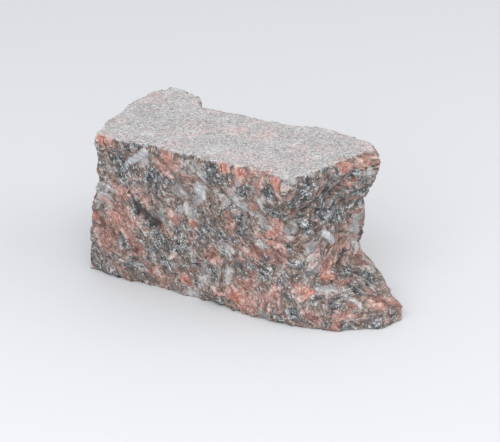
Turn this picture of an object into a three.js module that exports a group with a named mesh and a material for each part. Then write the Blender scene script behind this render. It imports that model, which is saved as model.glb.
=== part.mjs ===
// A hand-sized block of coarse pink granite: a sawn, finely tooled flat top, and five broken faces.
// It formed and was split as one piece, so the whole block is one closed solid.
// Units are millimetres, +Z is up, +X runs along the long front face, and +Y goes to the back.
// The part's origin is the middle of the underside of its box.

import * as THREE from 'three';
import * as BufferGeometryUtils from 'three/addons/utils/BufferGeometryUtils.js';

// ---- Driving dimensions ----

// Height of the block, from the face that it lies on to the sawn top.
const HEIGHT = 42;

// Grid cells along the block, across it and up it, each about 2.7 mm long.
const CELLS = { along: 30, across: 15, up: 16 };

// The outline at seven heights. Each ring goes round anticlockwise from the front left corner through
// the same stations: six along the front, two on the right end, seven on the back and three on the
// left end. The right end hangs over at the top, is hollow below and runs out into a low foot.
const OUTLINES = [
  {
    z: 0,
    ring: [
      [-6.4, 2.6], [4, 0.6], [17, 1], [31, 0.4], [45, -1.8], [59.5, -2],
      [70, 1.6], [79.5, 8.5],
      [82.4, 15], [70, 28.5], [51, 34.5], [37, 33.5], [24, 34.5], [15, 36.5], [8, 38],
      [-3.5, 36.5], [-8, 27], [-8.5, 15],
    ],
  },
  {
    z: 4,
    ring: [
      [-6.2, 1.5], [4, -0.8], [17, 0], [31, -0.6], [45, -2], [59.5, -2.4],
      [69, 1.8], [77.5, 9],
      [82, 15.8], [69.5, 28.5], [51, 36], [37, 35], [24, 36], [15, 38], [8, 39.5],
      [-4, 38], [-8.5, 28], [-9, 15],
    ],
  },
  {
    z: 12,
    ring: [
      [-6.2, 0.8], [4, -1], [16, 0.4], [31, 0.8], [45, 0.4], [54.6, 0.9],
      [60.8, 6.4], [64, 15.5],
      [66, 25.2], [60.5, 31.5], [50, 35.5], [37, 34], [24, 35], [16, 36.5], [10, 39],
      [-3, 39], [-8, 29], [-8.5, 16],
    ],
  },
  {
    z: 28.5,
    ring: [
      [-3.8, 3], [6, 2.2], [18, 3.2], [31, 1.8], [45, 1.4], [52.2, 2],
      [57, 7.2], [60.5, 16.5],
      [65.4, 25.4], [60, 31.5], [50, 34], [37, 33.5], [24, 33], [15, 34], [10.5, 38],
      [-2, 39.5], [-6.5, 31], [-7.5, 17],
    ],
  },
  {
    z: 37,
    ring: [
      [-4.2, 2.2], [7, 3], [19, 2.2], [31, 1.2], [45, 0.8], [55.4, -1.4],
      [57.2, 4.5], [62, 15.5],
      [70.2, 24.8], [64.4, 31.2], [51, 34], [37, 32], [23, 31.5], [13.5, 32.5], [10, 37.5],
      [-1.5, 40.5], [-5.8, 33], [-6.3, 18],
    ],
  },
  {
    z: 40,
    ring: [
      [-4.8, 2.4], [7, 1.6], [19, 1.7], [31, 1], [45, 0.8], [55.4, -1.6],
      [57.6, 6], [62, 16.5],
      [70.2, 25.6], [65.4, 31], [52, 34], [36.6, 31.6], [22, 31.5], [12.8, 31.9], [9.8, 37.2],
      [-1.5, 40.6], [-5.2, 34], [-6, 18],
    ],
  },
  {
    z: HEIGHT,
    ring: [
      [-4.4, 4], [7, 1.9], [19, 2.8], [31, 2.4], [45, 2.8], [53.4, 1.6],
      [57, 8.6], [61, 18.6],
      [68.6, 27.4], [65, 31], [52, 34], [36.6, 31.4], [22, 31.4], [12.7, 31.8], [9.6, 37],
      [-1.5, 40.6], [-5, 34], [-5.6, 18],
    ],
  },
];

// The first and the last station of each side of the ring.
const SIDES = { front: [0, 5], right: [5, 8], back: [8, 15], left: [15, 18] };

// Granite splits along sets of parallel joints, so the broken faces are zigzags of flat facets: for
// each set, the direction across its joints, the distance between them and the height of a zigzag.
const JOINT_SETS = [
  { across: [0.58, -0.58, 0.58], apart: 9.5, height: 0.45 },
  { across: [-0.35, 0.45, 0.82], apart: 15, height: 0.4 },
  { across: [0.84, 0.48, -0.25], apart: 19, height: 0.45 },
];

// Where one joint set crosses the next, its zigzag is shifted by up to this part of a wave.
const JOINT_BEND = { part: 0.3, stretch: 1.7 };

// Single hollows in the broken faces, each along a line between two points.
const HOLLOWS = [
  { from: [9.5, 0, 23.7], to: [14.2, 0, 18.3], halfWidth: 2, depth: 2.4 },
  { from: [4, 2, 33], to: [20, 2, 30], halfWidth: 5, depth: 0.8 },
  { from: [55, 2, 30], to: [60.5, 14, 32], halfWidth: 2.4, depth: 1.8 },
  { from: [62, 16, 33.5], to: [65, 20, 37], halfWidth: 2.4, depth: 0.9 },
];

// The broken faces are pushed in and out away from this line, which runs through the block.
const SPINE = { from: 8, to: 55, y: 17 };

// A cap moves with the sides at its edge, and less and less towards its middle.
const EDGE_POWER = 6;

// ---- Shape ----

// A straight-sided wave from -1 to 1, with one wave for each whole turn.
const zigzag = (turns) => 4 * Math.abs(turns - Math.round(turns)) - 1;

const dot = (u, v) => u.reduce((sum, value, axis) => sum + value * v[axis], 0);

// How far the broken surface stands proud at a point: one zigzag for each joint set.
function jointRelief(point) {
  return JOINT_SETS.reduce((relief, { across, apart, height }, n) => {
    const other = JOINT_SETS.at(n - 1);
    const bend = zigzag(dot(point, other.across) / (JOINT_BEND.stretch * other.apart));
    return relief + height * zigzag(dot(point, across) / apart + JOINT_BEND.part * bend);
  }, 0);
}

// Depth of all the hollows at a point, which fades out with the distance from their lines.
function hollowDepth(point) {
  const place = new THREE.Vector3(...point);
  const nearest = new THREE.Vector3();
  return HOLLOWS.reduce((sum, { from, to, halfWidth, depth }) => {
    const line = new THREE.Line3(new THREE.Vector3(...from), new THREE.Vector3(...to));
    line.closestPointToPoint(place, true, nearest);
    return sum + depth * Math.exp(-((place.distanceTo(nearest) / halfWidth) ** 2));
  }, 0);
}

const mix = (from, to, part) => from.map((value, axis) => value + (to[axis] - value) * part);

// The stations of one side at a height, from corner to corner.
function stationsAt(side, z) {
  const upper = Math.max(1, OUTLINES.findIndex((outline) => outline.z >= z));
  const [below, above] = [OUTLINES[upper - 1], OUTLINES[upper]];
  const part = (z - below.z) / (above.z - below.z);
  const ring = below.ring.map((station, n) => mix(station, above.ring[n], part));
  return [...ring, ring[0]].slice(SIDES[side][0], SIDES[side][1] + 1);
}

// How far along its side each station lies, from 0 to 1, measured on the top outline.
function stationParts(side) {
  const stations = stationsAt(side, HEIGHT).map((station) => new THREE.Vector2(...station));
  const run = [0];
  for (let n = 1; n < stations.length; n += 1) {
    run.push(run[n - 1] + stations[n].distanceTo(stations[n - 1]));
  }
  return run.map((length) => length / run.at(-1));
}

const STATION_PARTS = Object.fromEntries(Object.keys(SIDES).map((side) => [side, stationParts(side)]));

// The point at a part, from 0 to 1, of the way along a side at a height.
function sidePoint(side, part, z) {
  const stations = stationsAt(side, z);
  const parts = STATION_PARTS[side];
  const next = Math.max(1, parts.findIndex((value) => value >= Math.min(part, 1)));
  const stretch = (part - parts[next - 1]) / (parts[next] - parts[next - 1]);
  return mix(stations[next - 1], stations[next], stretch);
}

// The block without its relief. A cube's surface, whose coordinates run from 0 to 1, is stretched
// between the four sides of the outline at its height.
function blockPoint(a, b, c) {
  const z = c * HEIGHT;
  const across = mix(sidePoint('front', a, z), sidePoint('back', 1 - a, z), b);
  const lengthways = mix(sidePoint('left', 1 - b, z), sidePoint('right', b, z), a);
  const front = mix(sidePoint('front', 0, z), sidePoint('front', 1, z), a);
  const back = mix(sidePoint('back', 1, z), sidePoint('back', 0, z), a);
  const corners = mix(front, back, b);
  return [...across.map((value, axis) => value + lengthways[axis] - corners[axis]), z];
}

// The broken surface at a point of the cube. The relief moves the sides straight out or in, the
// caps only near their edge, and the underside up from the patches that it rests on.
function rockPoint(a, b, c) {
  const point = blockPoint(a, b, c);
  const out = [point[0] - THREE.MathUtils.clamp(point[0], SPINE.from, SPINE.to), point[1] - SPINE.y];
  const edge = Math.max(Math.abs(2 * a - 1), Math.abs(2 * b - 1)) ** EDGE_POWER;
  const push = (edge * (jointRelief(point) - hollowDepth(point))) / Math.hypot(...out);
  const [x, y] = [point[0] + push * out[0], point[1] + push * out[1]];
  const lift = c === 0 ? (1 - edge) * Math.max(0, jointRelief([x, y, 0])) : 0;
  return [x, y, point[2] + lift];
}

function graniteBlock() {
  const cube = new THREE.BoxGeometry(1, 1, 1, CELLS.along, CELLS.across, CELLS.up);
  cube.translate(0.5, 0.5, 0.5);
  cube.deleteAttribute('normal');
  cube.deleteAttribute('uv');
  const geometry = BufferGeometryUtils.mergeVertices(cube);
  const position = geometry.attributes.position;
  for (let n = 0; n < position.count; n += 1) {
    const cubePoint = [position.getX(n), position.getY(n), position.getZ(n)];
    position.setXYZ(n, ...rockPoint(...cubePoint));
  }
  geometry.computeBoundingBox();
  const middle = geometry.boundingBox.getCenter(new THREE.Vector3());
  geometry.translate(-middle.x, -middle.y, -geometry.boundingBox.min.z);
  geometry.computeVertexNormals();
  return geometry;
}

// ---- The part ----

const granite = new THREE.MeshStandardMaterial({ color: 0xa8938c, roughness: 0.62, metalness: 0 });

const block = new THREE.Mesh(graniteBlock(), granite);
block.name = 'granite_block';

const rock = new THREE.Group();
rock.add(block);

export default rock;
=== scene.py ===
import math

import bpy
import numpy as np
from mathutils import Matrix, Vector


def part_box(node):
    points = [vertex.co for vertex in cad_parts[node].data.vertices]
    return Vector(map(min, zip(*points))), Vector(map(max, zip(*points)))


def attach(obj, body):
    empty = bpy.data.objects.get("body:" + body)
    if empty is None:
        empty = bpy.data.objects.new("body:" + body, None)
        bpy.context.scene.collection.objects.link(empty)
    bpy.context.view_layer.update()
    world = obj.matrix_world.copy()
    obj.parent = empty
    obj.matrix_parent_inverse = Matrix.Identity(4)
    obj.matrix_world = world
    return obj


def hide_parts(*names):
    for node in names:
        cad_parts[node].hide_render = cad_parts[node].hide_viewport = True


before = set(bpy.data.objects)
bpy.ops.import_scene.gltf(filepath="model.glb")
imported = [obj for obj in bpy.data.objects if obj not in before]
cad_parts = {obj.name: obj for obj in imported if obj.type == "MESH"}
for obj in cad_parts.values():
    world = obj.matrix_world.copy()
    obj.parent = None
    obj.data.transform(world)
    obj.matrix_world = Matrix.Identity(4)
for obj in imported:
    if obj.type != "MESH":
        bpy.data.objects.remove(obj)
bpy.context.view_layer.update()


# ---- The block's outline -----------------------------------------------------------------
# The rock is one block of coarse pink granite, sawn flat on top and split on every other side.
# Its outline is given at seven heights, in millimetres. Each ring starts at the front left corner
# and goes through the same stations: along the front, the right end, the back and the left end.

HEIGHT = 42
OUTLINES = {
    0: [
        (-6.4, 2), (4, -0.4), (17, 1.2), (31, 0.2), (45, -2.7), (59.5, -0.7), (70, 0.9), (79.2, 8.4),
        (82.4, 14.8), (69.4, 28), (51, 34.5), (37, 33.5), (24, 34.5), (15, 36.5), (8, 38),
        (-3.5, 36.5), (-8, 27), (-8.5, 15),
    ],
    4: [
        (-6.2, 1.5), (4, -0.8), (17, 0), (31, -0.6), (45, -2.6), (59.5, -1.3), (69, 1.6), (77.8, 8.8),
        (82.2, 15.4), (68.8, 27.8), (51, 36), (37, 35), (24, 36), (15, 38), (8, 39.5),
        (-4, 38), (-8.5, 28), (-9, 15),
    ],
    12: [
        (-6.2, 0.8), (4, -1), (16, 0.4), (31, 0.8), (45, 0.4), (54.6, 0.9), (60.8, 6.4), (64, 15.5),
        (65.8, 25), (60.5, 31.5), (50, 35.5), (37, 34), (24, 35), (16, 36.5), (10, 39),
        (-3, 39), (-8, 29), (-8.5, 16),
    ],
    28.5: [
        (-3.8, 3), (6, 2.2), (18, 3.2), (31, 1.8), (45, 1.4), (52.2, 2), (57, 7.2), (60.5, 16.5),
        (65.4, 25.4), (60, 31.5), (50, 34), (37, 33.5), (24, 33), (15, 34), (10.5, 38),
        (-2, 39.5), (-6.5, 31), (-7.5, 17),
    ],
    37: [
        (-4.2, 2.2), (7, 3), (19, 2.2), (31, 1.2), (45, 0.8), (55.4, -1.4), (57.2, 4.5), (62, 15.5),
        (69.6, 24.8), (64.4, 31.4), (51, 34.2), (37, 32), (23, 31.5), (13.5, 32.5), (10, 37.5),
        (-1.5, 40.5), (-5.8, 33), (-6.3, 18),
    ],
    40: [
        (-4.8, 2.4), (7, 1.6), (19, 1.7), (31, 1), (45, 0.8), (55.4, -1.6), (57.8, 6), (62.6, 17),
        (70.6, 25.8), (65.8, 31.6), (52, 34.5), (36.6, 31.8), (22, 31.5), (12.8, 31.9), (9.8, 37.2),
        (-1.5, 40.6), (-5.2, 34), (-6, 18),
    ],
    HEIGHT: [
        (-4.4, 4), (7, 1.9), (19, 2.8), (31, 2.4), (45, 2.8), (53.2, 1.2), (57.2, 8), (60.5, 17.6),
        (65.8, 28), (63.8, 31.8), (52, 34.7), (36.6, 31.8), (22, 31.8), (12.7, 31.8), (9.6, 37),
        (-1.5, 40.6), (-5, 34), (-5.6, 18),
    ],
}
FRONT, RIGHT, BACK, LEFT = slice(0, 6), slice(5, 9), slice(8, 16), slice(15, 19)


def side_point(side, part, height):
    """Points on a side. Each station runs straight between the heights above and below, and a point
    lies straight between its two stations, which are spaced as they are on the top outline."""
    heights = np.array(list(OUTLINES))
    rings = np.array(list(OUTLINES.values()), float)
    stations = np.concatenate([rings, rings[:, :1]], axis=1)[:, side]
    steps = np.linalg.norm(np.diff(stations[-1], axis=0), axis=1)
    parts = np.append(0, np.cumsum(steps) / steps.sum())
    level = np.clip(np.searchsorted(heights, height) - 1, 0, len(heights) - 2)
    near = np.clip(np.searchsorted(parts, part) - 1, 0, len(parts) - 2)
    rise = ((height - heights[level]) / np.diff(heights)[level])[:, None]
    run = ((part - parts[near]) / np.diff(parts)[near])[:, None]
    low = stations[level, near] * (1 - run) + stations[level, near + 1] * run
    high = stations[level + 1, near] * (1 - run) + stations[level + 1, near + 1] * run
    return low * (1 - rise) + high * rise


def plain_block(a, b, c):
    """The block without relief: a cube's skin, with coordinates from 0 to 1, stretched between the
    four sides of the outline at its height. It is front to back, plus left to right, less corners."""
    z = c * HEIGHT
    start, end = np.zeros_like(a), np.ones_like(a)
    a1, b1 = a[:, None], b[:, None]
    across = side_point(FRONT, a, z) * (1 - b1) + side_point(BACK, 1 - a, z) * b1
    lengthways = side_point(LEFT, 1 - b, z) * (1 - a1) + side_point(RIGHT, b, z) * a1
    front = side_point(FRONT, start, z) * (1 - a1) + side_point(FRONT, end, z) * a1
    back = side_point(BACK, end, z) * (1 - a1) + side_point(BACK, start, z) * a1
    return np.column_stack([across + lengthways - front * (1 - b1) - back * b1, z])


# ---- The broken faces --------------------------------------------------------------------
# Granite splits along a few sets of parallel joints, so its faces are zigzags of flat facets, with
# single deeper hollows where a lump came away. The first set is the strongest: it leaves the ribs
# that slant across the front and the end.

JOINT_SETS = [
    # direction across the joints, distance between them, height of a zigzag
    ((0.58, -0.58, 0.58), 9.5, 0.45),
    ((-0.35, 0.45, 0.82), 15, 0.4),
    ((0.84, 0.48, -0.25), 19, 0.45),
]
HOLLOWS = [
    # from, to, half width, depth
    ((9.5, 0, 23.7), (14.2, 0, 18.3), 2, 2.4),
    ((4, 2, 33), (20, 2, 30), 5, 0.8),
    ((55, 2, 30), (60.5, 14, 32), 2.4, 1.8),
    ((62, 16, 33.5), (65, 20, 37), 2.4, 0.9),
]
BEND_PART, BEND_STRETCH = 0.3, 1.7
SPINE_X, SPINE_Y = (8, 55), 17
EDGE_POWER = 6


def zigzag(turns):
    """A straight-sided wave from -1 to 1, with one wave for each whole turn."""
    return 4 * np.abs(turns - np.round(turns)) - 1


def joint_relief(point):
    """The sum of one zigzag for each joint set. Where a set crosses the one before it, it is shifted
    by part of a wave, in step with that set."""
    relief = 0
    for number, (across, apart, height) in enumerate(JOINT_SETS):
        other, other_apart, _ = JOINT_SETS[number - 1]
        bend = BEND_PART * zigzag(point @ other / (BEND_STRETCH * other_apart))
        relief = relief + height * zigzag(point @ across / apart + bend)
    return relief


def way_from_line(point, start, end):
    """The way to each point from the nearest place on a straight line between two points."""
    line = np.subtract(end, start)
    part = np.clip((point - start) @ line / (line @ line), 0, 1)
    return point - start - part[:, None] * line


def hollow_depth(point):
    """The sum of the hollows, each deepest on its line and fading out as a bell curve beside it."""
    depth = 0
    for start, end, half_width, deepest in HOLLOWS:
        distance = np.linalg.norm(way_from_line(point, start, end), axis=1)
        depth = depth + deepest * np.exp(-((distance / half_width) ** 2))
    return depth


def level_out(point):
    """The level way out of the block: from the nearest place on the line through its middle."""
    out = point[:, :2] - np.column_stack([
        np.clip(point[:, 0], *SPINE_X), np.full(len(point), SPINE_Y),
    ])
    return out / np.linalg.norm(out, axis=1)[:, None]


def split_block(a, b, c):
    """The block with its joints: relief less hollows, pushed level outwards. The top and the underside
    move with the sides at their edge, and less and less towards their middle."""
    point = plain_block(a, b, c)
    edge = np.maximum(np.abs(2 * a - 1), np.abs(2 * b - 1)) ** EDGE_POWER
    push = edge * (joint_relief(point) - hollow_depth(point))
    point[:, :2] += push[:, None] * level_out(point)
    return point


# ---- The crystals ------------------------------------------------------------------------
# Each crystal broke its own way: feldspar along flat cleavages, quartz in smooth curves, and the
# mica between them crumbled. The crystals are the cells of a random lattice, drawn out along the
# strongest joints, and the same lattice gives the stone its colours.

CRYSTAL_SIZE = 4.0
GRAIN_SIZE, GRAIN_SHIFT = 1.1, 40
DRAWN_OUT = 1.6
GRAIN_WAVES = [
    # length, height
    (9.1, 0.35), (3.7, 0.22), (1.9, 0.12),
]
STEP, LEAN, CRUMBLE = 0.34, 0.17, 0.2
GROOVE, GROOVE_WIDTH = 0.1, 0.4
RIB, RIB_APART = 0.16, 5.3
# A second set of random numbers for the same crystals is read this many cells away.
OTHER_CELLS = 64


def cell_random(cell):
    """Three random numbers from 0 to 1 for each whole-numbered cell: the ones that a Voronoi
    texture node draws for it, so the relief and the colours show the same crystals."""
    u = np.uint32

    def turn(x, places):
        return (x << u(places)) | (x >> u(32 - places))

    def stir(a, b, c):
        for places in (4, 6, 8, 16, 19, 4):
            a = (a - c) ^ turn(c, places)
            c = c + b
            a, b, c = b, c, a
        return a, b, c

    def settle(a, b, c):
        for places in (14, 11, 25, 16, 4, 14, 24):
            c = (c ^ b) - turn(b, places)
            a, b, c = b, c, a
        return b

    bits = [np.ascontiguousarray(cell[..., axis], np.float32).view(u) for axis in range(3)]
    numbers = []
    for draw in range(3):
        seed = u((0xDEADBEEF + ((3 + (draw > 0)) << 2) + 13) & 0xFFFFFFFF)
        a, b, c = (seed + part for part in bits)
        if draw:
            a, b, c = stir(a, b, c)
            a = a + np.float32(draw).view(u)
        numbers.append(settle(a, b, c) / 0xFFFFFFFF)
    return np.stack(numbers, axis=-1)


def nearest_crystal(place, size):
    """For each point, of the cell whose own random place is nearest: its random numbers, the cell,
    the way from that place to the point, and how much farther the second nearest place is."""
    scaled = place.astype(np.float32) / np.float32(size)
    corner = np.floor(scaled)
    steps = np.stack(np.meshgrid(*[(-1, 0, 1)] * 3, indexing="ij"), axis=-1).reshape(-1, 3)
    cells = corner[:, None] + steps
    numbers = cell_random(cells)
    ways = scaled[:, None] - cells - numbers
    distances = np.linalg.norm(ways, axis=2)
    rows = np.arange(len(place))
    first, second = np.argsort(distances, axis=1)[:, :2].T
    gap = (distances[rows, second] - distances[rows, first]) * size
    return numbers[rows, first], cells[rows, first], ways[rows, first] * size, gap


def grain_place(point):
    """Where a point lies in the stone's grain: stretched across the strongest joints, so that the
    crystals come out flattened, and stirred by slow waves, so that their walls are not straight."""
    across = np.array(JOINT_SETS[0][0])
    across = across / np.linalg.norm(across)
    place = point + (DRAWN_OUT - 1) * (point @ across)[:, None] * across
    for length, height in GRAIN_WAVES:
        place = place + height * np.sin(place[:, [1, 2, 0]] * (2 * math.pi / length) + length)
    return place


def crystal_relief(place, mica):
    """Each crystal stands a step in or out, and leans as a flat plate; the mica crumbles into small
    plates. Ribs run along the strongest joints, and a fine groove follows each crystal's wall."""
    numbers, cells, way, gap = nearest_crystal(place, CRYSTAL_SIZE)
    lean = (2 * cell_random(cells + OTHER_CELLS) - 1) * LEAN
    plate = STEP * (numbers[:, 1] - 0.5) + (lean * way).sum(axis=1)
    grains, grain_cells, grain_way, grain_gap = nearest_crystal(place + GRAIN_SHIFT, GRAIN_SIZE)
    grain_lean = (2 * cell_random(grain_cells + OTHER_CELLS) - 1) * LEAN
    crumbs = CRUMBLE * (grains[:, 0] - 0.5) + (grain_lean * grain_way).sum(axis=1)
    ribs = RIB * zigzag(place @ JOINT_SETS[0][0] / RIB_APART + 0.35 * numbers[:, 2])
    fine_grooves = mica * np.exp(-2 * grain_gap / GROOVE_WIDTH)
    grooves = GROOVE * (np.exp(-gap / GROOVE_WIDTH) + fine_grooves)
    return plate + crumbs * (0.5 + mica) + ribs - grooves


# ---- The minerals ------------------------------------------------------------------------
# Coarse granite is four minerals: salmon feldspar, which rust turns orange, grey and white quartz,
# and seams of black mica. These are its larger crystals and seams; the rest are left to chance.

LARGE_CRYSTALS = {
    # middle, radius, from the left end to the right
    "feldspar": [
        ((0.5, 0, 11), 3), ((1, 0.7, 15.5), 3), ((3.5, 2, 25), 2.6), ((5, 1, 19), 4.6),
        ((9.5, -0.5, 12), 2.4), ((10, 0, 4), 2.2), ((14, 0, 6), 2.4), ((17, 0.6, 1), 2.6),
        ((18, 1.5, 38), 4), ((19.5, 2.5, 22), 2.4), ((30, 2.5, 32), 1.6), ((31, 1, 14), 2.2),
        ((33.7, -1, 5.5), 2.2), ((37, 1, 25), 2.6), ((41.5, -1.5, 5.5), 4.2),
        ((41.6, -1.3, 5.4), 1.5), ((43.5, 1, 32.5), 2), ((45.5, 0.5, 18.5), 3), ((50, 1, 26), 2.8),
        ((51.5, -1, 9), 3), ((52, 1, 19), 2.6), ((54, 2, 31), 1.8), ((57, 3.4, 19), 1.8),
        ((63, 16, 17), 4), ((63.5, -0.5, 3.5), 2.8), ((66, 22, 40.5), 1.6), ((66.8, 22.2, 12.3), 2.2),
        ((67.6, 1, 0.6), 2.2), ((68, 20.6, 11), 2.2), ((73.5, 4.5, 3.4), 2.6), ((76, 11, 5), 3.2),
        ((79.6, 15, 4.4), 2),
    ],
    "rust": [
        ((-4.5, 1, 17), 1.5), ((-2.8, 2.5, 40.4), 1.6), ((1.8, 1, 18), 1.5), ((18, 1, 40), 1.8),
        ((24.5, 0, 5), 1.8), ((25, 2.5, 22), 1.2), ((34.5, 1, 41), 1.8), ((39.5, 1, 40.5), 2),
        ((41, -1.5, 4), 2.4), ((49.3, 1.1, 25), 1.5), ((50, -0.5, 40), 2.4), ((60, 1.8, 9.5), 2),
        ((62, 8.6, 12.4), 2.2), ((62.5, 18, 40.4), 2), ((76, 11, 4), 2),
    ],
    "mica": [
        ((-5, 1.5, 9), 1.8), ((-4.4, 2.4, 38.4), 1.8), ((3.5, 3, 33.5), 3.4), ((7.6, 1.4, 22.4), 1.6),
        ((9, 0, 5), 3.4), ((12.5, 1.5, 19.5), 2), ((13, 3.5, 32), 4), ((15, 0.5, 14), 3.6),
        ((18, 0.2, 9.8), 2.2), ((22.5, 0.5, 15), 3.4), ((27, 1.7, 19.5), 3), ((31, 1, 22.5), 4.5),
        ((32, 0.5, 39.5), 2.6), ((33, 0, 9), 2), ((33, 1, 36), 3), ((36.8, 1.8, 40.2), 1.4),
        ((40.5, 1, 25), 2.6), ((41.5, 1, 35), 2.2), ((43.2, 0, 14), 2), ((48, 0, 13), 2.6),
        ((49, 0.5, 37.5), 2), ((50, 1, 30.5), 2.8), ((52.6, 0.3, 11.4), 1.8),
        ((54.2, 2.1, 20.3), 1.6), ((55.6, 3, 16.6), 1.8), ((56.5, -2, 4), 2.8),
        ((56.6, 2.4, 39.2), 2), ((57, 4, 37.5), 4.6), ((57, 6.5, 26.5), 2.8), ((60, 9, 31), 2.6),
        ((60, 11, 34), 2.4), ((60, 14, 28), 5), ((61, 14, 38), 2.4), ((62, 4, 10), 2),
        ((62.5, 2, 7), 2), ((62.9, 10.4, 12), 1.4), ((64, 12, 12), 2), ((64.5, 15.2, 12.6), 2.6),
        ((64.5, 20, 37.6), 2), ((64.6, 21.4, 40.6), 1.6), ((65.5, 22.5, 31), 3),
        ((66.5, 4, 6.5), 2.6), ((67.5, 22.5, 36), 2), ((70.5, 11, 8), 2.4), ((71, 17, 9), 2.6),
        ((78, 7.6, 1.6), 2),
    ],
    "quartz": [
        ((-1.4, 2, 24.6), 3.2), ((-0.5, 1.6, 22), 1.8), ((6, 3.5, 36), 1.5), ((9, 3, 37.5), 1.7),
        ((11.5, 2.5, 39), 1.6), ((15, 2.5, 22), 1.6), ((19.6, 0.5, 1), 3), ((21, 2.3, 34), 2),
        ((22.5, 3.5, 25.5), 2.2), ((25.5, 1, 39.5), 2.4), ((25.5, 2.5, 23), 1.8),
        ((27.5, 2.5, 31.5), 2.2), ((30, 0, 8), 2.2), ((33.2, 1.9, 32.5), 2.2), ((36.5, 1, 11), 2.6),
        ((41, 1.8, 29.8), 2.6), ((45.2, 0.7, 34), 2), ((46.5, 0.7, 20.8), 1.6),
        ((47.2, 1.2, 26.2), 2.2), ((49.2, -1.9, 1.4), 2.2), ((53.5, 2.6, 25.6), 1.6),
        ((54, 2, 41.5), 1.8), ((54.4, 3.9, 26.4), 1.8), ((57, 8, 41.5), 2), ((59, 7, 20), 2.2),
        ((61.5, 11.5, 22), 3.6), ((64.5, 22, 20), 2), ((65, 6.5, 9), 2), ((65, 23.5, 23), 2.2),
        ((66.5, 22.5, 12), 2), ((67.5, 23, 37.5), 1.6), ((69.6, 22.4, 10.4), 2),
    ],
}
PLATES = [
    # from, to, half width
    ((5.4, 3.5, 35.2), (10.8, 2.8, 39.6), 0.8),
    ((27, 2, 32.6), (28.6, 2, 30.4), 0.8),
    ((60.6, 10.6, 23.4), (62, 13.2, 19.8), 0.7),
]
PLATE_EDGE = 0.3
CHANCE_SPACING, CHANCE_SHIFT = 8, 20
CHANCE_RADIUS = (3, 5.4)
CHANCE_KINDS = {"feldspar": (0, 0.44), "rust": (0.36, 0.42), "quartz": (0.44, 0.64), "mica": (0.64, 1)}


def mineral_shares(place):
    """How much each mineral's large crystals and seams cover a place in the grain: each one falls from
    1 at its middle to a half at its radius, and the strongest counts. Where none of them is near,
    crystals of random kinds and sizes take over, one in each cell of a wide lattice."""
    shares = {}
    for mineral, crystals in LARGE_CRYSTALS.items():
        shares[mineral] = np.zeros(len(place))
        for middle, radius in crystals:
            distance = np.linalg.norm(place - grain_place(np.array([middle])), axis=1)
            cover = np.exp(-((distance / (1.2 * radius)) ** 2))
            shares[mineral] = np.maximum(shares[mineral], cover)
    free = 1 - np.clip(2 * sum(shares.values()), 0, 1)
    numbers, _, way, _ = nearest_crystal(place + CHANCE_SHIFT, CHANCE_SPACING)
    radius = np.interp(numbers[:, 1], (0, 1), CHANCE_RADIUS)
    cover = free * np.exp(-((np.linalg.norm(way, axis=1) / radius) ** 2))
    for mineral, (least, most) in CHANCE_KINDS.items():
        chosen = (numbers[:, 0] >= least) & (numbers[:, 0] < most)
        shares[mineral] = np.maximum(shares[mineral], cover * chosen)
    return shares


def plate_share(point):
    """Where the block's few whole feldspar plates lie: straight strips with clean edges."""
    share = np.zeros(len(point))
    for start, end, half_width in PLATES:
        distance = np.abs(way_from_line(point, start, end)).max(axis=1)
        share = np.maximum(share, np.clip((half_width - distance) / PLATE_EDGE + 0.5, 0, 1))
    return share


# ---- The crevices ------------------------------------------------------------------------
# Where two pieces of the stone parted unevenly, a narrow crevice is left, and its bottom is painted
# dark as painted shade. The largest are on the front, under the overhang and where the foot begins.

CREVICES = [
    # from, to, half width, depth
    ((8, 1.8, 23), (14.8, 1.6, 18), 0.6, 1.2),
    ((60.4, 11.4, 35.2), (56.6, 6.4, 31), 0.95, 1.4),
    ((60.6, 14, 34.4), (61.6, 16.6, 34.8), 0.3, 0.8),
    ((64.3, 17.6, 15), (64.7, 13.6, 12), 0.8, 1.2),
    ((6.6, 2, 25.4), (7.6, 2, 24), 0.3, 0.7),
    ((62, 7.4, 14.6), (60, 4.6, 10.4), 0.25, 0.6),
]
CREVICE_REACH = 4


def crevice_cut(point, outwards):
    """How far each point moves into a crevice, and how much painted shade darkens it there. A crevice is
    a wedge cut level into the stone along a slightly wavy line, deepest on the line and closed at one
    and a half half widths from it."""
    level = outwards * (1, 1, 0)
    level /= np.maximum(np.linalg.norm(level, axis=1), 0.001)[:, None]
    depth, painted_shade = np.zeros(len(point)), np.zeros(len(point))
    wavy = point + 0.2 * np.sin(point[:, [2, 0, 1]] * 2.1)
    for start, end, half_width, deepest in CREVICES:
        away = way_from_line(wavy, start, end)
        out = (away * level).sum(axis=1)
        sideways = np.linalg.norm(away - out[:, None] * level, axis=1)
        wedge = np.clip(1.5 - sideways / half_width, 0, 1) * (np.abs(out) < CREVICE_REACH)
        depth = np.maximum(depth, deepest * wedge)
        painted_shade = np.maximum(painted_shade, wedge)
    return -depth[:, None] * level, painted_shade


# ---- The block's surface -----------------------------------------------------------------
# The block's surface is one closed skin. The top was sawn and tooled flat, and small flakes have
# come off along its rim and off the lower edge. The block lies on the low places of its underside.

CUBE_CELLS = (196, 74, 128)
# Parts of the rows of cells, and the parts of the height that they reach: the foot has more rows.
FOOT_ROWS = (0, 0.11, 0.36, 1), (0, 4 / HEIGHT, 12.5 / HEIGHT, 1)
TOP_LENGTH, TOP_DEPTH = 66, 32
FLAKE_SPACING, FLAKE_SHIFT = 0.6 * CRYSTAL_SIZE, 80
CHART_PLACES = {
    # Where each face of the cube lies on the block's texture sheet: left, bottom, width, height.
    (1, 0): (0.0, 0.0, 0.48, 0.32),
    (1, 1): (0.5, 0.0, 0.5, 0.32),
    (2, 0): (0.0, 0.34, 0.58, 0.32),
    (0, 1): (0.6, 0.34, 0.4, 0.32),
    (2, 1): (0.0, 0.68, 0.6, 0.32),
    (0, 0): (0.62, 0.68, 0.38, 0.32),
}


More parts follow.
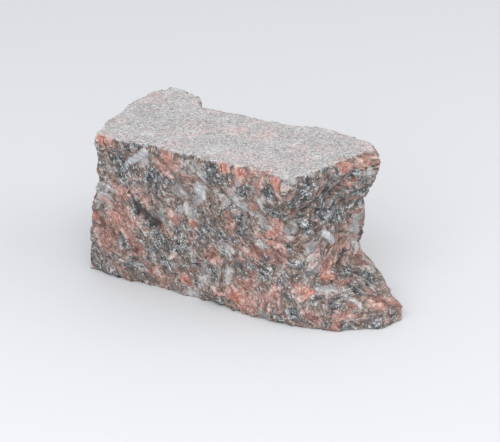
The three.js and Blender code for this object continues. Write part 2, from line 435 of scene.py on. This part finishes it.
def cube_skin(cells):
    """The points of a cube's skin, with coordinates from 0 to 1, its four-sided faces turned
    outwards, and the place of each face's corners on the texture sheet."""
    counts = np.array(cells)
    grid = np.moveaxis(np.indices(counts + 1), 0, -1)
    skin = ((grid == 0) | (grid == counts)).any(axis=-1)
    number = np.cumsum(skin).reshape(skin.shape) - 1
    faces, sheet_places = [], []
    for (axis, end), (left, bottom, width, height) in CHART_PLACES.items():
        sheet = number.take(-end, axis)
        rows, columns = np.indices(sheet.shape)
        rows = left + width * rows / rows.max()
        columns = bottom + height * columns / columns.max()
        ring = [(slice(None, -1),) * 2, (slice(1, None), slice(None, -1))]
        ring += [(slice(1, None),) * 2, (slice(None, -1), slice(1, None))]
        outwards = (axis == 1) != (end == 1)
        ring = ring if outwards else ring[::-1]
        faces.append(np.stack([sheet[part] for part in ring], axis=-1).reshape(-1, 4))
        both = np.stack([rows, columns], axis=-1)
        sheet_places.append(np.stack([both[part] for part in ring], axis=-2).reshape(-1, 4, 2))
    return grid[skin] / counts, np.concatenate(faces), np.concatenate(sheet_places)


def outward_normals(points, faces):
    """Unit normals at the points, each the sum of its faces' normals."""
    corners = points[faces]
    normals = np.cross(corners[:, 2] - corners[:, 0], corners[:, 3] - corners[:, 1])
    totals = [np.bincount(faces.ravel(), np.repeat(normals[:, axis], 4)) for axis in range(3)]
    totals = np.stack(totals, axis=-1)
    return totals / np.linalg.norm(totals, axis=1)[:, None]


def flaked(from_edge, flake):
    """How far a flake that came off an edge lowers the faces beside it: a straight bevel, as deep as
    the flake at the edge and running out at that distance from it."""
    return np.clip(flake - from_edge, 0, None) / 2


cube, faces, sheet_places = cube_skin(CUBE_CELLS)
a, b, c = cube.T
on_top, on_underside = c == 1, c == 0
c = np.interp(c, *FOOT_ROWS)
points = split_block(a, b, c)
place = grain_place(points)
minerals = mineral_shares(place)
outwards = outward_normals(points, faces)
cut, crevice = crevice_cut(points, outwards)

to_side = np.minimum(np.minimum(a, 1 - a) * TOP_LENGTH, np.minimum(b, 1 - b) * TOP_DEPTH)
from_rim = np.where(on_top, to_side, (1 - c) * HEIGHT)
from_base = np.where(on_underside, to_side, c * HEIGHT)

# The broken faces are less rough close to the rim, and the sawn top is smooth right up to it.
rough = np.where(on_top, np.clip(1 - to_side / 0.4, 0, 1), 1) * np.clip(0.45 + from_rim / 5, 0, 1)
plates = plate_share(points)
relief = crystal_relief(place, minerals["mica"]) * rough * (1 - 0.8 * plates) + 0.3 * plates
points += relief[:, None] * outwards + cut * ~on_top[:, None]

# Most of both edges is sharp, and flakes of random sizes have come off the rest.
chance = nearest_crystal(place + FLAKE_SHIFT, FLAKE_SPACING)[0]
top_flake = flaked(from_rim, np.clip(chance[:, 2] * 2.6 - 1.4, 0.1, 1.2))
base_flake = flaked(from_base, np.clip(chance[:, 1] * 2 - 0.9, 0.2, 1.1))
points[:, :2] -= (top_flake + base_flake)[:, None] * level_out(points)
points[:, 2] += base_flake - top_flake

# The underside arches up from the low places of its edge, and the saw cut off all above the top.
arch = np.clip(joint_relief(points * (1, 1, 0)), 0, None) * np.clip(to_side / 6, 0, 1)
points[:, 2] = np.clip(points[:, 2] + arch * on_underside, 0, HEIGHT)
sawn = np.clip((points[:, 2] - (HEIGHT - 0.3)) / 0.25, 0, 1) * on_top

# The middle of the solid's underside in the outlines' own millimetres, put where the frame has it.
UNDERSIDE_MIDDLE = (36.6, 18.9, 0)
low, high = (np.array(corner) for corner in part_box("granite_block"))
rest_place = ((low[0] + high[0]) / 2, (low[1] + high[1]) / 2, low[2])
points = (points - UNDERSIDE_MIDDLE) * 0.001 + rest_place

mesh = bpy.data.meshes.new("rough_granite")
mesh.from_pydata(points.tolist(), [], faces.tolist())
mesh.update()
mesh.uv_layers.new(name="OFBake").data.foreach_set("uv", sheet_places.ravel())
mesh.attributes.new("grain_place", "FLOAT_VECTOR", "POINT").data.foreach_set("vector", place.ravel())
rim = np.clip(1 - from_rim / 1.6, 0, 1)
painted = {**minerals, "plate": plates, "sawn": sawn, "crevice": crevice, "rim": rim}
for name, value in painted.items():
    mesh.attributes.new(name, "FLOAT", "POINT").data.foreach_set("value", value)
mesh.shade_smooth()
block = bpy.data.objects.new("rough_granite", mesh)
bpy.context.scene.collection.objects.link(block)
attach(block, "root")
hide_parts("granite_block")


# ---- The granite's colours ---------------------------------------------------------------
# Every mineral has its own shades: cloudy salmon in the feldspar, smoky and milky quartz, and mica
# that glitters black and white. Where the saw passed, all of them are dulled to a fine pale grey.

granite = bpy.data.materials.new("pink_granite")
granite.use_nodes = True
nodes, links = granite.node_tree.nodes, granite.node_tree.links
mesh.materials.append(granite)


def display_colour(red, green, blue):
    """A colour from its 0 to 255 display values, as amounts of light."""
    parts = np.array([red, green, blue]) / 255
    return (*np.where(parts < 0.04045, parts / 12.92, ((parts + 0.055) / 1.055) ** 2.4), 1)


def joined(kind, sockets, **settings):
    """A shader node with its settings, and its sockets set to values or joined to other nodes."""
    node = nodes.new(kind)
    for name, value in settings.items():
        setattr(node, name, value)
    for name, value in sockets.items():
        if isinstance(value, bpy.types.NodeSocket):
            links.new(value, node.inputs[name])
        else:
            node.inputs[name].default_value = value
    return node


def on_block(name):
    """The block's own value of that name, from point to point."""
    return joined("ShaderNodeAttribute", {}, attribute_name=name).outputs["Fac"]


def sums(first, *terms):
    """A value plus other values, each times its own weight."""
    total = first
    for value, weight in terms:
        sockets = {0: value, 1: weight, 2: total}
        total = joined("ShaderNodeMath", sockets, operation="MULTIPLY_ADD").outputs[0]
    return total


def clouds(place, size, fineness, shift=0.0):
    """Soft clouds of a size in millimetres at a place, with finer ones inside them."""
    moved = joined("ShaderNodeVectorMath", {0: place, 1: (shift,) * 3}, operation="ADD").outputs[0]
    sockets = {"Vector": moved, "Scale": 1 / size, "Detail": fineness, "Roughness": 0.62}
    return joined("ShaderNodeTexNoise", sockets).outputs["Fac"]


def crystals(size, shift=0.0):
    """The random numbers of the crystals of a size: three values, the same all over a crystal."""
    moved = joined("ShaderNodeVectorMath", {0: grain, 1: (shift,) * 3}, operation="ADD").outputs[0]
    cells = joined("ShaderNodeTexVoronoi", {"Vector": moved, "Scale": 1 / size})
    return joined("ShaderNodeSeparateColor", {"Color": cells.outputs["Color"]}).outputs


def edged(value, start, end):
    """A mask that rises smoothly from 0 to 1 while a value goes from start to end."""
    sockets = {"Value": value, "From Min": start, "From Max": end}
    return joined("ShaderNodeMapRange", sockets, interpolation_type="SMOOTHSTEP").outputs[0]


def shades(value, *stops):
    """Colours for a value, blended between stops of a position and a display colour."""
    node = joined("ShaderNodeValToRGB", {"Fac": value})
    stop_slots = node.color_ramp.elements
    while len(stop_slots) < len(stops):
        stop_slots.new(0.5)
    for slot, (position, colour) in zip(stop_slots, stops):
        slot.position = position
        slot.color = display_colour(*colour)
    return node.outputs[0]


def over(mask, under, top, blend="MIX"):
    """One colour laid over another where the mask is 1."""
    sockets = {"Factor": mask, 6: under, 7: top}
    return joined("ShaderNodeMix", sockets, data_type="RGBA", blend_type=blend).outputs[2]


grain = joined("ShaderNodeAttribute", {}, attribute_name="grain_place").outputs["Vector"]
feldspar, rust, mica, quartz = map(on_block, ("feldspar", "rust", "mica", "quartz"))
chances, small_chances = crystals(CRYSTAL_SIZE), crystals(GRAIN_SIZE, GRAIN_SHIFT)
middling_chances = crystals(2.1, 60)
specks = crystals(0.3, 20)
haze, sugar = clouds(grain, 1.7, 5), clouds(grain, 0.42, 3, 11)

# Mica leaves and cleavage cracks make fine streaks along the strongest joints.
across_leaves = joined("ShaderNodeVectorMath", {0: grain, 1: JOINT_SETS[0][0]}, operation="DOT_PRODUCT")
spread = [2.6 * part for part in JOINT_SETS[0][0]]
leaf_sockets = {0: across_leaves.outputs[1], 1: spread, 2: grain}
leaf_place = joined("ShaderNodeVectorMath", leaf_sockets, operation="MULTIPLY_ADD").outputs[0]
leaves = clouds(leaf_place, 2.2, 5, 5)

ground = shades(
    sums(0.0, (haze, 0.7), (leaves, 0.9), (sugar, 0.8), (small_chances[0], 0.25), (-0.8, 1)),
    (0.2, (46, 40, 37)), (0.4, (93, 80, 74)), (0.6, (136, 119, 110)), (0.85, (203, 188, 180)),
)
salmon = shades(
    sums(0.0, (haze, 0.8), (leaves, 0.8), (sugar, 0.7), (middling_chances[1], 0.25), (chances[2], 0.25),
         (-0.85, 1)),
    (0.18, (76, 50, 45)), (0.38, (126, 90, 81)), (0.58, (166, 125, 115)), (0.82, (213, 186, 179)),
)
orange = shades(
    sums(0.0, (haze, 0.8), (leaves, 0.6), (sugar, 0.8), (-0.55, 1)),
    (0.22, (98, 54, 46)), (0.5, (163, 100, 85)), (0.8, (216, 167, 153)),
)
milky = shades(
    sums(haze, (sugar, 0.5), (chances[1], 0.3), (-0.4, 1)),
    (0.25, (107, 106, 106)), (0.5, (150, 147, 146)), (0.8, (205, 201, 199)),
)
plate = shades(
    sums(0.0, (leaves, 1.1), (sugar, 0.3), (-0.2, 1)),
    (0.25, (120, 122, 126)), (0.45, (172, 174, 177)), (0.7, (216, 217, 219)),
)
glitter = shades(
    sums(0.0, (specks[0], 0.45), (sugar, 0.9), (leaves, 1.5), (small_chances[2], 0.45), (-1.15, 1)),
    (0.15, (36, 37, 39)), (0.4, (79, 82, 85)), (0.65, (131, 133, 134)), (0.92, (209, 208, 207)),
)

# Which mineral lies where: the large crystals raise its chance, and clouds and cells do the rest.
chance_clouds = [clouds(grain, 4.6, 5, shift) for shift in (0, 31, 57)]
pink_here = sums(0.0, (chance_clouds[0], 0.8), (chances[0], 0.25), (middling_chances[0], 0.2),
                 (feldspar, 0.2), (rust, 0.3), (mica, -0.2), (quartz, -0.2))
milky_here = sums(0.0, (chance_clouds[1], 0.8), (chances[1], 0.25), (middling_chances[1], 0.2),
                  (quartz, 0.27), (mica, -0.18), (feldspar, -0.15))
dark_here = sums(0.0, (chance_clouds[2], 0.8), (middling_chances[2], 0.2), (small_chances[0], 0.25),
                 (mica, 0.22), (feldspar, -0.18), (rust, -0.3), (quartz, -0.22))
rusty_here = sums(0.0, (rust, 0.8), (haze, 0.6), (middling_chances[2], 0.3))
colour = over(edged(milky_here, 0.64, 0.8), ground, milky)
colour = over(edged(pink_here, 0.56, 0.8), colour, salmon)
colour = over(edged(rusty_here, 0.75, 1.05), colour, orange)
colour = over(edged(dark_here, 0.62, 0.82), colour, glitter)
colour = over(on_block("plate"), colour, plate)

# Single grains are darker, a few are painted white as glints (painted highlight), and the rim is paler.
flecks = shades(specks[1], (0.0, (120, 120, 120)), (0.14, (240, 240, 240)), (0.9, (255, 255, 255)))
colour = over(0.5, colour, flecks, "MULTIPLY")
# Painted highlight: the rare white specks stand in for glints of light off cleavage faces.
colour = over(edged(specks[2], 0.975, 0.995), colour, display_colour(206, 202, 200))
# A patchy band along the rim is paler.
paler_rim = edged(sums(0.0, (on_block("rim"), 0.7), (haze, 0.9), (sugar, 0.5)), 1.1, 1.75)
colour = over(paler_rim, colour, display_colour(200, 196, 194))
# Painted shade: the crevices' bottoms are painted dark where the overhang and the crevice walls keep out
# the light.
colour = over(on_block("crevice"), colour, display_colour(66, 57, 54))

saw_streaks = joined("ShaderNodeMapping", {"Vector": grain, "Scale": (0.9, 3.4, 3.4)}).outputs[0]
streaks = joined("ShaderNodeTexNoise", {"Vector": saw_streaks, "Scale": 0.9, "Detail": 4}).outputs["Fac"]
sawn_pale = shades(
    sums(streaks, (sugar, 0.9), (specks[0], 0.12), (-0.5, 1)),
    (0.28, (100, 103, 111)), (0.42, (160, 159, 162)), (0.53, (206, 203, 203)), (0.68, (240, 238, 237)),
)
sawn_pale = over(0.4, sawn_pale, colour)
colour = over(on_block("sawn"), colour, sawn_pale)

shader = nodes["Principled BSDF"]
links.new(colour, shader.inputs["Base Color"])
links.new(sums(0.78, (small_chances[1], -0.4)), shader.inputs["Roughness"])
fine_relief = joined("ShaderNodeBump", {"Height": sugar, "Strength": 0.55, "Distance": 0.0003})
links.new(fine_relief.outputs[0], shader.inputs["Normal"])


# ---- Table, light and camera -------------------------------------------------------------
# The block lies on a plain sheet of white paper. A large window close in front of it gives most of
# the light, a smaller one to its right gives a little, and the room's walls give the rest.

paper_mesh = bpy.data.meshes.new("table")
paper_mesh.from_pydata([(-3, -3, 0), (3, -3, 0), (3, 3, 0), (-3, 3, 0)], [], [(0, 1, 2, 3)])
table = bpy.data.objects.new("table", paper_mesh)
bpy.context.scene.collection.objects.link(table)
paper = bpy.data.materials.new("white_paper")
paper.use_nodes = True
paper_shader = paper.node_tree.nodes["Principled BSDF"]
paper_shader.inputs["Base Color"].default_value = display_colour(214, 215, 217)
paper_shader.inputs["Roughness"].default_value = 0.8
paper_mesh.materials.append(paper)

room = bpy.data.worlds.new("room")
bpy.context.scene.world = room
room.use_nodes = True
walls = room.node_tree.nodes["Background"]
walls.inputs["Color"].default_value = (0.98, 0.985, 1.0, 1)
walls.inputs["Strength"].default_value = 0.87

middle_of_block = Vector((0, 0, 0.02))
window_light = bpy.data.lights.new("window", "AREA")
window_light.size = 0.5
window_light.energy = 1.5
window_light.color = (0.95, 0.98, 1)
window = bpy.data.objects.new("window", window_light)
window.location = (0.05, -0.36, 0.32)
window.rotation_euler = (middle_of_block - window.location).to_track_quat("-Z", "Y").to_euler()
bpy.context.scene.collection.objects.link(window)

side_light = bpy.data.lights.new("side_window", "AREA")
side_light.size = 0.4
side_light.energy = 0.45
side_window = bpy.data.objects.new("side_window", side_light)
side_window.location = (0.34, 0.12, 0.24)
towards_block = middle_of_block - side_window.location
side_window.rotation_euler = towards_block.to_track_quat("-Z", "Y").to_euler()
bpy.context.scene.collection.objects.link(side_window)

camera_data = bpy.data.cameras.new("camera")
camera_data.sensor_width = 36
camera_data.lens = 144
camera = bpy.data.objects.new("camera", camera_data)
# How far the camera is turned to the right of the front, raised, and away from where it aims.
around, above, away = math.radians(25.56), math.radians(27.42), 0.5516
aim = Vector((-0.0018, -0.00076, 0.01735))
level, rise = math.cos(above), math.sin(above)
to_camera = Vector((math.sin(around) * level, -math.cos(around) * level, rise))
camera.location = aim + to_camera * away
camera.rotation_euler = (-to_camera).to_track_quat("-Z", "Y").to_euler()
camera.rotation_euler.rotate_axis("Z", math.radians(0.79))
bpy.context.scene.collection.objects.link(camera)
bpy.context.scene.camera = camera
bpy.context.scene.view_settings.view_transform = "Standard"
